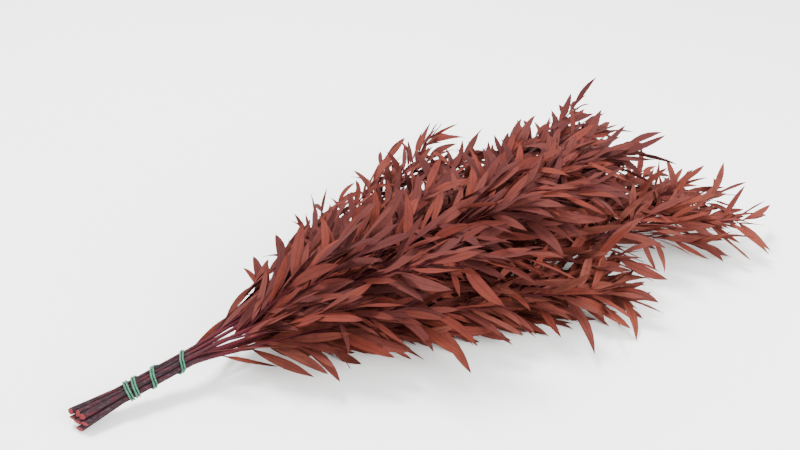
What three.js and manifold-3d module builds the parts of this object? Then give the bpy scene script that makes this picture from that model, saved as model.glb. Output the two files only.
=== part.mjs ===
import * as THREE from "three";
import Module from "manifold-3d";

// A bunch of dried willow eucalyptus, dyed russet, lying on a table. Ten cut branches are held by
// one doubled elastic band, rise a little from their cut ends to the band, and fan out beyond it.
// Lengths are in millimetres. The bunch is laid out with +X from the cut ends to the leafy tips,
// +Y to its left, +Z up, and the table at z = 0 under the middle of the band.

// The tied bundle of stems
const STEM_PITCH = 3.5; // between neighbouring stems in a row
const ROW_PITCH = 3.1; // between the rows
const BUNDLE_HEIGHT = 20.7; // of the bundle's middle above the table, under the band's middle
const BUNDLE_CLIMB = 0.23; // mm up for each mm along
const BUNDLE_YAW = 0.1; // mm to the left for each mm along
const GRIP_START = -26; // the stems run side by side from here
const GRIP_END = 28; // to here
const CUT_SPLAY = 1.55; // how far the cut ends stand apart, as a share of their distance in the grip
const LEAVING = 0.14; // length of a stem's first straight run beyond the grip, as a share

// The stems
const STEM_SIDES = 7;
const STEM_STEPS = 8; // tube segments beyond the grip
const STEM_TIP_RADIUS = 0.8;
const STEM_RADIUS = 1.62; // in the grip
const CUT_RADIUS = 2.45;
const LEAFY_FROM = 0; // share of a stem, beyond the grip, where its own leaves begin
const STEM_LEAF_SPACING = 12;

// The side shoots
const TURN = 2.39996; // radians from one shoot or leaf round to the next
const FLATTENING = 0.6; // growth up and down, as a share of growth to the sides
const SHOOT_SPACING = 36;
const SHOOTS_FROM = 0.12; // share of the stem where shoots begin
const SHOOTS_TO = 0.95; // and end
const SHOOTS_CROWD = 0.85; // below 1, they stand closer together towards the tip
const SHOOT_LENGTH = 120; // of the lowest shoot
const SHOOT_SHRINK = 0.55; // how much shorter the last one is, as a share
const SHOOT_RADIUS = 1.05;
const SHOOT_TIP_RADIUS = 0.75;
const SHOOT_SIDES = 3;
const SHOOT_STEPS = 3;
const SHOOT_TRIES = 14;
const SHOOT_GAP = 3;
const SHOOT_FLOOR = 1.6; // no shoot's axis lies lower than this
const LEAF_SPACING = 8.5; // along a shoot
const LEAVES_PER_SOLID_ONE = 3; // one leaf in three is a solid; the last on a shoot always is

// The leaves
const LEAF_LENGTH = 54;
const LEAF_SLENDER = 0.158; // width as a share of length
const LEAF_RIDGE = 0.95; // thickness at the midrib
const PETIOLE_HALF = 0.45; // half the width of the leaf stalk
const LEAF_FLOOR = 8; // leaves lower than this lie flat
const LEAF_RINGS = [0, 0.1, 0.36, 0.68, 1]; // sections of a leaf, as shares of its length
const LEAF_TRIES = 12;
const LEAF_GAP = 2.6; // between the sampled points of leaves on different branches
const OWN_LEAF_GAP = 1.5; // and on the same one
const OWN_STEM_GAP = 0.9; // between a leaf's blade and its own branch's stem and shoots
const SAMPLE_STEP = 2.5;

// The elastic band
const STRAND_RADIUS = 0.7;
const BAND_GAP = 0.35; // between the band and the stems
const BAND_TURNS = [-0.3, 3.18]; // from the first turn's front, in turns
const BAND_START_X = -18.5;
const BAND_PITCH = 0.7; // advance in the first turn
const BAND_OPENING = 4.3; // how quickly the turns open out
const BAND_LAG = 0.65; // how much less the band advances in front than behind, as a share
const BAND_FRONT = (145 * Math.PI) / 180; // direction of a turn's front, from the left side up
const STRAND_SPACING = 1.9; // between the two strands
const BAND_SAMPLES = 12; // for each turn
const STRAND_SIDES = 5;

const SEAM_TOLERANCE = 0.1; // small steps in the seams between joined solids are left out

// The branches. seat is a stem's place in the bundle, in pitches to the left and rows up; cut is
// how far its cut end lies beyond the others'. guide bends the stem, tip is where it ends,
// leafSize is the size of its leaves, and spread says how widely its shoots and leaves stand out.
const BRANCHES = [
  { seat: [-1, -1], cut: 2, guide: [150, 6, 14], tip: [300, -38, 10], leafSize: 1, spread: 0.4 },
  { seat: [0, -1], cut: -1, guide: [220, 12, 16], tip: [356, -46, 10], leafSize: 0.95, spread: 0.7 },
  { seat: [1, -1], cut: 1, guide: [250, 62, 16], tip: [372, 104, 12], leafSize: 0.85, spread: 1 },
  { seat: [-1.5, 0], cut: -3, guide: [240, -30, 34], tip: [352, -44, 26], leafSize: 1, spread: 0.8 },
  { seat: [-0.5, 0], cut: 1, guide: [400, -13, 55], tip: [494, -10, 29], leafSize: 0.95, spread: 1 },
  { seat: [0.5, 0], cut: 3, guide: [370, 28, 58], tip: [484, 38, 32], leafSize: 0.85, spread: 1 },
  { seat: [1.5, 0], cut: 0, guide: [186, 78, 50], tip: [292, 148, 54], leafSize: 0.75, spread: 0.9 },
  { seat: [-1, 1], cut: -4, guide: [220, -16, 92], tip: [330, 2, 94], leafSize: 1, spread: 0.8 },
  { seat: [0, 1], cut: -2, guide: [300, 24, 106], tip: [400, 44, 82], leafSize: 0.95, spread: 0.9 },
  { seat: [1, 1], cut: 2, guide: [306, 70, 82], tip: [432, 110, 70], leafSize: 0.8, spread: 0.9 },
];
const CUT_X = -58;

const UP = new THREE.Vector3(0, 0, 1);
const vector = (x, y, z) => new THREE.Vector3(x, y, z);
const mix = (a, b, share) => a + (b - a) * share;
const clamp01 = (x) => Math.min(Math.max(x, 0), 1);

// A stream of even draws from 0 to 1 that is the same each time for the same seed.
function drawsFrom(seed) {
  let state = seed >>> 0;
  return () => {
    state = (state + 0x6d2b79f5) >>> 0;
    let t = Math.imul(state ^ (state >>> 15), state | 1);
    t ^= t + Math.imul(t ^ (t >>> 7), t | 61);
    return ((t ^ (t >>> 14)) >>> 0) / 4294967296;
  };
}

// The bundle's own directions: along it, across it to the left, and up through it.
const ALONG = vector(1, BUNDLE_YAW, BUNDLE_CLIMB).normalize();
const ACROSS = vector(-BUNDLE_YAW, 1, 0).normalize();
const THROUGH = new THREE.Vector3().crossVectors(ALONG, ACROSS);

// The point of the bundle at x, so many millimetres to the left and up.
function bundlePoint(x, across, through) {
  return vector(x, BUNDLE_YAW * x, BUNDLE_HEIGHT + BUNDLE_CLIMB * x)
    .addScaledVector(ACROSS, across)
    .addScaledVector(THROUGH, through);
}

// Where a shoot's direction is along, its sideways and upward directions.
function sidesOf(along) {
  const side = new THREE.Vector3().crossVectors(UP, along).normalize();
  return [side, new THREE.Vector3().crossVectors(along, side)];
}

// A direction round a shoot or stem, drawn in towards the level.
function outwardAt(side, up, round) {
  const outward = side.clone().multiplyScalar(Math.cos(round));
  return outward.addScaledVector(up, Math.sin(round) * FLATTENING);
}

// The place and the direction at a share of a route, a line of points evenly spread in share.
function alongRoute(route, share) {
  const steps = route.length - 1;
  const step = Math.min(Math.floor(share * steps), steps - 1);
  const place = route[step].clone().lerp(route[step + 1], share * steps - step);
  return { place, along: route[step + 1].clone().sub(route[step]).normalize() };
}

// The stem of a branch: straight through the grip, then a curve to its tip.
function stemOf({ seat, cut, guide, tip, leafSize, spread }) {
  const across = seat[0] * STEM_PITCH;
  const through = seat[1] * ROW_PITCH;
  const cutEnd = bundlePoint(CUT_X - cut, across * CUT_SPLAY, through * CUT_SPLAY);
  const gripStart = bundlePoint(GRIP_START, across, through);
  const gripEnd = bundlePoint(GRIP_END, across, through);
  const bend = vector(...guide);
  const run = bend.distanceTo(gripEnd);
  const fan = bend.clone().sub(gripEnd).normalize();
  const leaving = ALONG.clone().add(fan).normalize();
  const first = gripEnd.clone().addScaledVector(leaving, run * LEAVING);
  const curve = new THREE.CubicBezierCurve3(gripEnd, first, bend, vector(...tip));
  const length = curve.getLength();
  return { cutEnd, gripStart, route: curve.getPoints(STEM_STEPS), length, leafSize, spread };
}

// Points taken up by what has been placed, so that nothing of one branch crosses another.
function makeRoom() {
  const pieces = [];
  const boxOf = (points) => new THREE.Box3().setFromPoints(points);
  const near = (a, b, limit) =>
    a.some((p) => b.some((q) => p.distanceToSquared(q) < limit * limit));
  return {
    take(branch, kind, points, reach) {
      pieces.push({ branch, kind, points, reach, box: boxOf(points) });
    },
    // Whether all points keep these gaps from other branches and from the own one's pieces.
    free(branch, points, reach, gap, ownGaps) {
      const box = boxOf(points);
      return !pieces.some((piece) => {
        const least = piece.branch === branch ? ownGaps[piece.kind] : gap;
        if (least === undefined) return false;
        const limit = least + reach + piece.reach;
        if (!piece.box.clone().expandByScalar(limit).intersectsBox(box)) return false;
        const own = piece.branch === branch && piece.kind !== "leaf";
        return near(own ? points.slice(points.length / 3) : points, piece.points, limit);
      });
    },
  };
}

// Points along a route, about SAMPLE_STEP apart.
function pointsAlong(route, length, from = 0) {
  const count = Math.ceil(length / SAMPLE_STEP);
  const shares = Array.from({ length: count + 1 }, (_, i) => mix(from, 1, i / count));
  return shares.map((share) => alongRoute(route, share).place);
}

// A side shoot: it leaves the stem at an angle and bends forward along it.
function shootAt(stem, share, number, draw, attempt) {
  const { place: base, along } = alongRoute(stem.route, share);
  const [side, up] = sidesOf(along);
  const round = number * TURN + attempt * 0.7 + draw() * 0.6;
  const opening = mix(0.3, 0.6, draw()) * stem.spread * mix(0.35, 1, clamp01(share / 0.45));
  const closing = opening * mix(0.25, 0.7, draw());
  const length = SHOOT_LENGTH * (1 - SHOOT_SHRINK * share) * mix(0.8, 1.1, draw());
  const outward = outwardAt(side, up, round);
  const aim = (angle) =>
    along.clone().multiplyScalar(Math.cos(angle)).addScaledVector(outward, Math.sin(angle));
  const middle = base.clone().addScaledVector(aim(opening), length / 2);
  const end = middle.clone().addScaledVector(aim(closing), length / 2);
  middle.z = Math.max(middle.z, SHOOT_FLOOR);
  end.z = Math.max(end.z, SHOOT_FLOOR);
  const curve = new THREE.QuadraticBezierCurve3(base, middle, end);
  return { route: curve.getPoints(SHOOT_STEPS), length };
}

// Half the width of a leaf at a share of its length: widest at two fifths, with a long tip.
function halfWidthAt(share, width) {
  const blade = clamp01((share - 0.06) / 0.94);
  const swell = Math.pow(blade, 0.8) * Math.pow(1 - blade, 0.95) * 3.34;
  return Math.max((width / 2) * swell, share < 1 ? PETIOLE_HALF : 0);
}

// A leaf's middle line and the direction across it, at a share of its length. Low down it lies
// flat on the table.
function leafSectionAt(leaf, share) {
  const place = leaf.base
    .clone()
    .addScaledVector(leaf.start, leaf.length * (share - (share * share) / 2))
    .addScaledVector(leaf.end, (leaf.length * share * share) / 2);
  const along = leaf.start.clone().multiplyScalar(1 - share).addScaledVector(leaf.end, share);
  place.z = Math.max(place.z, 0);
  const low = clamp01((LEAF_FLOOR - place.z) / (LEAF_FLOOR * 0.7));
  const flat = clamp01(share / 0.3) * low;
  along.z *= 1 - flat;
  along.normalize();
  const across = leaf.across.clone();
  across.z *= 1 - flat;
  across.addScaledVector(along, -across.dot(along)).normalize();
  return { place, along, across };
}

// One try at a leaf: it opens from the shoot, curves like a sickle and droops. Leaves low on the
// branch keep closer along it.
function leafAt(base, along, number, share, { leafSize, spread }, draw, attempt) {
  const [side, up] = sidesOf(along);
  const round = number * TURN + attempt * 0.9 + draw() * 0.8;
  const stray = draw() < 0.12 ? 0.6 : 0;
  const ease = mix(0.22, 1, clamp01(share / 0.35));
  const opening = (mix(0.24, 0.8, draw()) * spread + stray) * ease;
  const length = LEAF_LENGTH * leafSize * mix(0.78, 1.22, draw()) * (1 - 0.12 * share);
  const width = length * LEAF_SLENDER * mix(0.85, 1.2, draw());
  const roll = (draw() + draw() - 1) * 1.1;
  const sickle = (draw() - 0.5) * 1.6 * ease;
  const droop = mix(0.05, 0.4, draw()) * ease;
  const outward = outwardAt(side, up, round);
  const start = along.clone().multiplyScalar(Math.cos(opening));
  start.addScaledVector(outward, Math.sin(opening)).normalize();
  const [flatSide, flatUp] = sidesOf(start);
  const across = flatSide.multiplyScalar(Math.cos(roll)).addScaledVector(flatUp, Math.sin(roll));
  const end = start.clone().addScaledVector(across, sickle).addScaledVector(UP, -droop).normalize();
  return { base, start, end, across, length, width };
}

// Points spread over a leaf, to test it against its neighbours.
function pointsOn(leaf) {
  const count = Math.ceil(leaf.length / SAMPLE_STEP);
  const points = [];
  for (let i = 0; i <= count; i++) {
    const share = mix(0.15, 1, i / count);
    const { place, across } = leafSectionAt(leaf, share);
    const half = halfWidthAt(share, leaf.width);
    for (const offset of half > 1.3 ? [-1, -0.33, 0.33, 1] : [0]) {
      points.push(place.clone().addScaledVector(across, half * offset));
    }
  }
  return points;
}

const OWN_GAPS = { leaf: OWN_LEAF_GAP, stem: OWN_STEM_GAP, shoot: OWN_STEM_GAP };

// Grows the whole bunch: stems first, then shoots, then leaves, each where there is room.
function growBunch() {
  const room = makeRoom();
  const stems = BRANCHES.map(stemOf);
  stems.forEach((stem, b) => {
    const reach = mix(STEM_RADIUS, STEM_TIP_RADIUS, 0.4);
    room.take(b, "stem", pointsAlong(stem.route, stem.length), reach);
  });
  const shoots = [];
  stems.forEach((stem, b) => {
    const count = Math.round((stem.length * (SHOOTS_TO - SHOOTS_FROM)) / SHOOT_SPACING);
    for (let s = 0; s < count; s++) {
      const share = mix(SHOOTS_FROM, SHOOTS_TO, Math.pow((s + 0.5) / count, SHOOTS_CROWD));
      const draw = drawsFrom(1000 * (b + 1) + s);
      for (let attempt = 0; attempt < SHOOT_TRIES; attempt++) {
        const shoot = shootAt(stem, share, s + b, draw, attempt);
        const points = pointsAlong(shoot.route, shoot.length, 0.1);
        if (!room.free(b, points, SHOOT_RADIUS, SHOOT_GAP, { shoot: OWN_STEM_GAP })) continue;
        room.take(b, "shoot", points, SHOOT_RADIUS);
        shoots.push({ branch: b, share, ...shoot });
        break;
      }
    }
    shoots.push({ branch: b, share: 0.5, route: stem.route, length: stem.length, isStem: true });
  });
  const leaves = [];
  shoots.forEach((shoot, number) => {
    const from = shoot.isStem ? LEAFY_FROM : 0.12;
    const spacing = shoot.isStem ? STEM_LEAF_SPACING : LEAF_SPACING;
    const count = Math.max(3, Math.round((shoot.length * (1 - from)) / spacing));
    for (let k = 0; k < count; k++) {
      if ((count - 1 - k) % LEAVES_PER_SOLID_ONE) continue;
      const last = k === count - 1;
      const at = last ? 1 - 1.5 / shoot.length : mix(from, 1, (k + 0.5) / count);
      const { place: base, along } = alongRoute(shoot.route, at);
      const draw = drawsFrom(100000 + 100 * number + k);
      const far = shoot.isStem ? at : shoot.share;
      for (let attempt = 0; attempt < LEAF_TRIES; attempt++) {
        const leaf = leafAt(base, along, k, far, stems[shoot.branch], draw, attempt);
        const points = pointsOn(leaf);
        if (!room.free(shoot.branch, points, 0.5, LEAF_GAP, OWN_GAPS)) continue;
        room.take(shoot.branch, "leaf", points, 0.5);
        leaves.push({ branch: shoot.branch, ...leaf });
        break;
      }
    }
  });
  return { stems, shoots: shoots.filter((shoot) => !shoot.isStem), leaves };
}

// A closed surface through rings of points: each ring joined to the next, and the ends closed. A
// last ring of one point makes a tip, and a loop joins its last ring to its first.
function surfaceThrough(rings, loop = false) {
  const points = rings.flat();
  const sides = rings[0].length;
  const index = [];
  const starts = rings.map((_, i) => i * sides);
  const bands = loop ? rings.length : rings.length - 1;
  for (let i = 0; i < bands; i++) {
    const a = starts[i];
    const b = starts[(i + 1) % rings.length];
    const tip = rings[(i + 1) % rings.length].length === 1;
    for (let j = 0; j < sides; j++) {
      const k = (j + 1) % sides;
      if (tip) {
        index.push(a + j, a + k, b);
      } else {
        index.push(a + j, a + k, b + k, a + j, b + k, b + j);
      }
    }
  }
  const closed = loop ? [] : [0, rings.length - 1];
  for (const end of closed.filter((i) => rings[i].length > 1)) {
    for (let j = 1; j < sides - 1; j++) {
      const fan = [starts[end], starts[end] + j + 1, starts[end] + j];
      index.push(...(end === 0 ? fan : fan.reverse()));
    }
  }
  const geometry = new THREE.BufferGeometry().setFromPoints(points);
  return geometry.setIndex(index);
}

// A ring of a round stem, no part of it below the table.
function ringRound(place, along, radius, sides) {
  const [side, up] = sidesOf(along);
  return Array.from({ length: sides }, (_, j) => {
    const angle = (2 * Math.PI * (j + 0.5)) / sides;
    const point = place
      .clone()
      .addScaledVector(side, radius * Math.cos(angle))
      .addScaledVector(up, radius * Math.sin(angle));
    point.z = Math.max(point.z, 0);
    return point;
  });
}

// The solid of a stem, from its cut end to its tip.
function stemSolid({ cutEnd, gripStart, route }) {
  const places = [cutEnd, gripStart, ...route];
  const rings = places.map((place, i) => {
    const next = places[Math.min(i + 1, places.length - 1)];
    const before = places[Math.max(i - 1, 0)];
    const along = i === 0 ? ALONG : next.clone().sub(before).normalize();
    const gripped = mix(STEM_RADIUS, STEM_TIP_RADIUS, clamp01((i - 2) / STEM_STEPS));
    const radius = i === 0 ? CUT_RADIUS : gripped;
    return ringRound(place, along, radius, STEM_SIDES);
  });
  return surfaceThrough(rings);
}

// The solid of a side shoot, with its root on the stem's axis.
function shootSolid({ route }) {
  const rings = route.map((place, i) => {
    const next = route[Math.min(i + 1, SHOOT_STEPS)];
    const along = next.clone().sub(route[Math.max(i - 1, 0)]).normalize();
    const radius = mix(SHOOT_RADIUS, SHOOT_TIP_RADIUS, i / SHOOT_STEPS);
    return ringRound(place, along, radius, SHOOT_SIDES);
  });
  return surfaceThrough(rings);
}

// The solid of a leaf: a thin blade, flat below and ridged along its midrib above.
function leafSolid(leaf) {
  const rings = LEAF_RINGS.map((share) => {
    const { place, along, across } = leafSectionAt(leaf, share);
    if (share === 1) return [place];
    const half = halfWidthAt(share, leaf.width);
    const ridge = new THREE.Vector3().crossVectors(along, across).multiplyScalar(LEAF_RIDGE);
    const left = place.clone().addScaledVector(across, half);
    const right = place.clone().addScaledVector(across, -half);
    left.z = Math.max(left.z, 0);
    right.z = Math.max(right.z, 0);
    return [right, left, place.clone().add(ridge)];
  });
  return surfaceThrough(rings);
}

// The point where the band touches the bundle in a direction round it, and that direction.
function bandPoint(angle, x) {
  const out = ACROSS.clone().multiplyScalar(Math.cos(angle)).addScaledVector(THROUGH, Math.sin(angle));
  const seats = BRANCHES.map(({ seat }) => [seat[0] * STEM_PITCH, seat[1] * ROW_PITCH]);
  const reachOf = ([across, through]) => across * Math.cos(angle) + through * Math.sin(angle);
  const outer = seats.reduce((best, seat) => (reachOf(seat) > reachOf(best) ? seat : best));
  const place = bundlePoint(x, ...outer);
  place.addScaledVector(out, STEM_RADIUS + BAND_GAP + STRAND_RADIUS);
  return { place, out };
}

// For each degree of a turn, the share of the way round that is covered by then. The way is longer
// where the band runs straight from stem to stem.
function coveredByAngle() {
  const covered = [0];
  for (let degree = 1; degree <= 360; degree++) {
    const before = bandPoint(BAND_FRONT - (Math.PI * (degree - 1)) / 180, 0).place;
    const here = bandPoint(BAND_FRONT - (Math.PI * degree) / 180, 0).place;
    covered.push(covered[degree - 1] + here.distanceTo(before));
  }
  return covered.map((length) => length / covered[360]);
}

// The band: one loop of elastic pulled out double and wound round the bundle, so that two strands
// run side by side and turn back at both ends.
function bandSolid() {
  const [from, to] = BAND_TURNS;
  const count = Math.round((to - from) * BAND_SAMPLES);
  const turns = Array.from({ length: count + 1 }, (_, i) => mix(from, to, i / count));
  const coveredBy = coveredByAngle();
  const xAt = (turn) => {
    const whole = Math.floor(turn);
    const degrees = (turn - whole) * 360;
    const degree = Math.min(Math.floor(degrees), 359);
    const part = mix(coveredBy[degree], coveredBy[degree + 1], degrees - degree);
    const lag = (BAND_LAG * Math.sin(2 * Math.PI * part)) / (2 * Math.PI);
    const covered = whole + part - lag;
    return BAND_START_X + BAND_PITCH * covered + BAND_OPENING * covered * Math.abs(covered);
  };
  const onStrand = (turn, side) =>
    bandPoint(BAND_FRONT - 2 * Math.PI * turn, xAt(turn) + (side * STRAND_SPACING) / 2);
  const bendBack = (turn, step) => onStrand(turn + step, 0);
  const route = [
    ...turns.map((turn) => onStrand(turn, -1)),
    bendBack(to, 0.035),
    ...turns.reverse().map((turn) => onStrand(turn, 1)),
    bendBack(from, -0.035),
  ];
  const rings = route.map(({ place, out }, i) => {
    const next = route[(i + 1) % route.length].place;
    const before = route[(i + route.length - 1) % route.length].place;
    const along = next.clone().sub(before).normalize();
    const wide = new THREE.Vector3().crossVectors(along, out).normalize();
    const high = new THREE.Vector3().crossVectors(wide, along);
    return Array.from({ length: STRAND_SIDES }, (_, j) => {
      const angle = (2 * Math.PI * j) / STRAND_SIDES;
      return place
        .clone()
        .addScaledVector(wide, -STRAND_RADIUS * Math.cos(angle))
        .addScaledVector(high, STRAND_RADIUS * Math.sin(angle));
    });
  });
  return surfaceThrough(rings, true);
}

const wasm = await Module();
wasm.setup();

// A geometry with shared vertices as a solid that can be joined to others.
function solidFrom(geometry) {
  return new wasm.Manifold(
    new wasm.Mesh({
      numProp: 3,
      vertProperties: geometry.getAttribute("position").array,
      triVerts: new Uint32Array(geometry.index.array),
    }),
  );
}

// Several geometries joined into one.
function fused(geometries) {
  const joined = geometries.map(solidFrom).reduce((whole, piece) => whole.add(piece));
  const mesh = joined.asOriginal().simplify(SEAM_TOLERANCE).getMesh();
  return new THREE.BufferGeometry()
    .setAttribute("position", new THREE.BufferAttribute(mesh.vertProperties, 3))
    .setIndex(new THREE.BufferAttribute(mesh.triVerts, 1));
}

const russetLeaf = new THREE.MeshStandardMaterial({ color: 0x8c4236, roughness: 0.85, metalness: 0 });
const greenElastic = new THREE.MeshStandardMaterial({ color: 0x7fc0a0, roughness: 0.5, metalness: 0 });

function named(name, geometry, material) {
  const mesh = new THREE.Mesh(geometry, material);
  mesh.name = name;
  return mesh;
}

const grown = growBunch();
const bunch = new THREE.Group();
grown.stems.forEach((stem, b) => {
  const shoots = grown.shoots.filter((shoot) => shoot.branch === b);
  const leaves = grown.leaves.filter((leaf) => leaf.branch === b);
  const solids = [stemSolid(stem), ...shoots.map(shootSolid), ...leaves.map(leafSolid)];
  bunch.add(named(`branch_${b + 1}`, fused(solids), russetLeaf));
});
bunch.add(named("elastic_band", bandSolid(), greenElastic));

// The part's origin is under the middle of its box, on the table.
const box = new THREE.Box3().setFromObject(bunch);
const middle = box.getCenter(new THREE.Vector3());
bunch.position.set(-middle.x, -middle.y, -box.min.z);

const part = new THREE.Group();
part.add(bunch);
export default part;
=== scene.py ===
# %% [markdown]
# # A bunch of dried willow eucalyptus
#
# Florists dry and dye the long shoots of willow eucalyptus, and sell them as a bunch with its cut
# ends in an elastic band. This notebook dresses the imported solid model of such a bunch. The solids
# hold ten branches, each a stem with some of its side shoots and leaves, and the band. Here every
# branch gets all of its leaves, thin ones, and round stems with bark.
#
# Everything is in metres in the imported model's frame: +X from the cut ends to the leafy tips, +Z up
# from the table.

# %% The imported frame
import math

import bpy
import numpy as np
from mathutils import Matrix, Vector


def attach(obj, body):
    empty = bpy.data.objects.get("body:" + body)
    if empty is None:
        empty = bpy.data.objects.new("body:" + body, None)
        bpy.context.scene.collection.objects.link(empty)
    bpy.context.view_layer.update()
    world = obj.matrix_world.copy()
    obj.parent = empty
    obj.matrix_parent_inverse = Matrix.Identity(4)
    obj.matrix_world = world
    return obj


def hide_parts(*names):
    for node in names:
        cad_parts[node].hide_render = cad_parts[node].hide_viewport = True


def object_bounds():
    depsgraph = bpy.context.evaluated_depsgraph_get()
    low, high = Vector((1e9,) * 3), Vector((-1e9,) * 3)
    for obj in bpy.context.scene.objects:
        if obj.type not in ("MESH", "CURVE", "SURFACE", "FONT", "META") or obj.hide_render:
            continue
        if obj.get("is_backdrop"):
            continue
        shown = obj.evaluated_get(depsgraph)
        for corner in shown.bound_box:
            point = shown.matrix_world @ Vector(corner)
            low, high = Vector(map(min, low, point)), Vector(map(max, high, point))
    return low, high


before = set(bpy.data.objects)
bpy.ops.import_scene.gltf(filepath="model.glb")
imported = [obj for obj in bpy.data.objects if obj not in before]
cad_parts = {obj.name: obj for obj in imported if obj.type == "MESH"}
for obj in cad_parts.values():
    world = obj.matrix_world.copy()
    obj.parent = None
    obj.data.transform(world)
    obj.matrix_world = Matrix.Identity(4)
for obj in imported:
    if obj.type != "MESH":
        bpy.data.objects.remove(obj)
cad_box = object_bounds()
print("packed model:", sorted(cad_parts), [round(v, 3) for v in cad_box[1] - cad_box[0]])

# %% [markdown]
# ## How the bunch grows
#
# The leaves that the solids have must lie where the solids have them, so the bunch is grown again
# here by the rule that grew the solids: the same numbers, the same order of random draws, and the
# same test for room. Growth is worked out in millimetres, with the table at zero under the middle
# of the band, and turned into metres at the very end.
#
# Lengths below are in millimetres, and angles and turns in radians. Where a value varies by chance,
# a pair holds the least and the most.

# %% Sizes of the bundle and stems
STEM_PITCH = 3.5
ROW_PITCH = 3.1
BUNDLE_HEIGHT = 20.7
BUNDLE_CLIMB = 0.23
BUNDLE_YAW = 0.1
GRIP_START = -26
GRIP_END = 28
CUT_X = -58
CUT_SPLAY = 1.55  # the cut ends lie this many times as far apart as the stems in the band
LEAVING = 0.14  # how far on a stem's first bend lies, as a share of its way to the next
STEM_STEPS = 8
CUT_RADIUS = 2.45
STEM_RADIUS = 1.62
STEM_TIP_RADIUS = 0.8
LEAFY_FROM = 0
STEM_LEAF_SPACING = 12
TURN = 2.39996  # the golden angle
FLATTENING = 0.6  # what grows round a stem reaches this far up and down, for 1 sideways
print("a stem is", 2 * CUT_RADIUS, "mm thick at its cut end")

# %% Sizes of the side shoots
SHOOT_SPACING = 36
SHOOTS_FROM = 0.12
SHOOTS_TO = 0.95
SHOOTS_CROWD = 0.85  # below 1, the shoots stand closer towards the tip
SHOOT_LENGTH = 120
SHOOT_SHRINK = 0.55
SHOOT_RADIUS = 1.05
SHOOT_STEPS = 3
SHOOT_TRIES = 14
SHOOT_GAP = 3
SHOOT_FLOOR = 1.6
lowest = SHOOT_LENGTH * (1 - SHOOT_SHRINK * SHOOTS_FROM)
print("the lowest side shoot of a stem is about", round(lowest), "mm long")

# %% Sizes of the leaves
LEAF_SPACING = 8.5
LEAVES_PER_SOLID_ONE = 3
LEAF_LENGTH = 54
LEAF_SLENDER = 0.158
PETIOLE_HALF = 0.45
LEAF_FLOOR = 8
LEAF_TRIES = 12
LEAF_GAP = 2.6
OWN_GAPS = {"leaf": 1.5, "stem": 0.9, "shoot": 0.9}
LEAF_REACH = 0.5
SAMPLE_STEP = 2.5
print("a leaf is about", LEAF_LENGTH, "by", round(LEAF_LENGTH * LEAF_SLENDER, 1), "mm")

# %% The branches: place in the bundle, cut end, bend, tip, leaf size and spread
BRANCHES = [
    ((-1, -1), 2, (150, 6, 14), (300, -38, 10), 1, 0.4),
    ((0, -1), -1, (220, 12, 16), (356, -46, 10), 0.95, 0.7),
    ((1, -1), 1, (250, 62, 16), (372, 104, 12), 0.85, 1),
    ((-1.5, 0), -3, (240, -30, 34), (352, -44, 26), 1, 0.8),
    ((-0.5, 0), 1, (400, -13, 55), (494, -10, 29), 0.95, 1),
    ((0.5, 0), 3, (370, 28, 58), (484, 38, 32), 0.85, 1),
    ((1.5, 0), 0, (186, 78, 50), (292, 148, 54), 0.75, 0.9),
    ((-1, 1), -4, (220, -16, 92), (330, 2, 94), 1, 0.8),
    ((0, 1), -2, (300, 24, 106), (400, 44, 82), 0.95, 0.9),
    ((1, 1), 2, (306, 70, 82), (432, 110, 70), 0.8, 0.9),
]
print(len(BRANCHES), "branches")

# %% [markdown]
# Random draws have to come out the same each time, and the same as in the solids, so the generator
# is written out here. It is a small one that only adds, multiplies and shifts whole numbers.

# %% Random draws
WHOLE = 0xFFFFFFFF
DRAW_STEP = 0x6D2B79F5


def draws_from(seed):
    state = seed & WHOLE

    def draw():
        nonlocal state
        state = (state + DRAW_STEP) & WHOLE
        t = ((state ^ (state >> 15)) * (state | 1)) & WHOLE
        t ^= (t + (((t ^ (t >> 7)) * (t | 61)) & WHOLE)) & WHOLE
        return (t ^ (t >> 14)) / (WHOLE + 1)

    return draw


first = draws_from(1000)
print("first draws:", [round(first(), 4) for _ in range(3)])

# %% Vectors and curves
UP = np.array((0.0, 0.0, 1.0))


def unit(v):
    return v / np.linalg.norm(v)


def mix(a, b, share):
    return a + (b - a) * share


def clamp01(x):
    return min(max(x, 0), 1)


def sides_of(along):
    side = unit(np.cross(UP, along))
    return side, np.cross(along, side)


def outward_at(side, up, turn):
    return side * math.cos(turn) + up * (math.sin(turn) * FLATTENING)


def curve_points(handles, steps):
    """Points along a curve with three or four control points, even in its own measure."""
    shares = np.linspace(0, 1, steps + 1)[:, None]
    rows = [np.asarray(h, float)[None, :] for h in handles]
    while len(rows) > 1:
        rows = [mix(a, b, shares) for a, b in zip(rows, rows[1:])]
    return rows[0]


def along_route(route, share):
    """The place and the direction at a share of a route of points."""
    steps = len(route) - 1
    step = min(int(share * steps), steps - 1)
    place = mix(route[step], route[step + 1], share * steps - step)
    return place, unit(route[step + 1] - route[step])


print("the middle of a bent line:", curve_points(((0, 0, 0), (1, 0, 0), (1, 1, 0)), 2)[1])

# %% The stems
ALONG = unit(np.array((1, BUNDLE_YAW, BUNDLE_CLIMB)))
ACROSS = unit(np.array((-BUNDLE_YAW, 1, 0)))
THROUGH = np.cross(ALONG, ACROSS)
MEASURING_STEPS = 200


def bundle_point(x, across, through):
    middle = np.array((x, BUNDLE_YAW * x, BUNDLE_HEIGHT + BUNDLE_CLIMB * x))
    return middle + ACROSS * across + THROUGH * through


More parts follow.
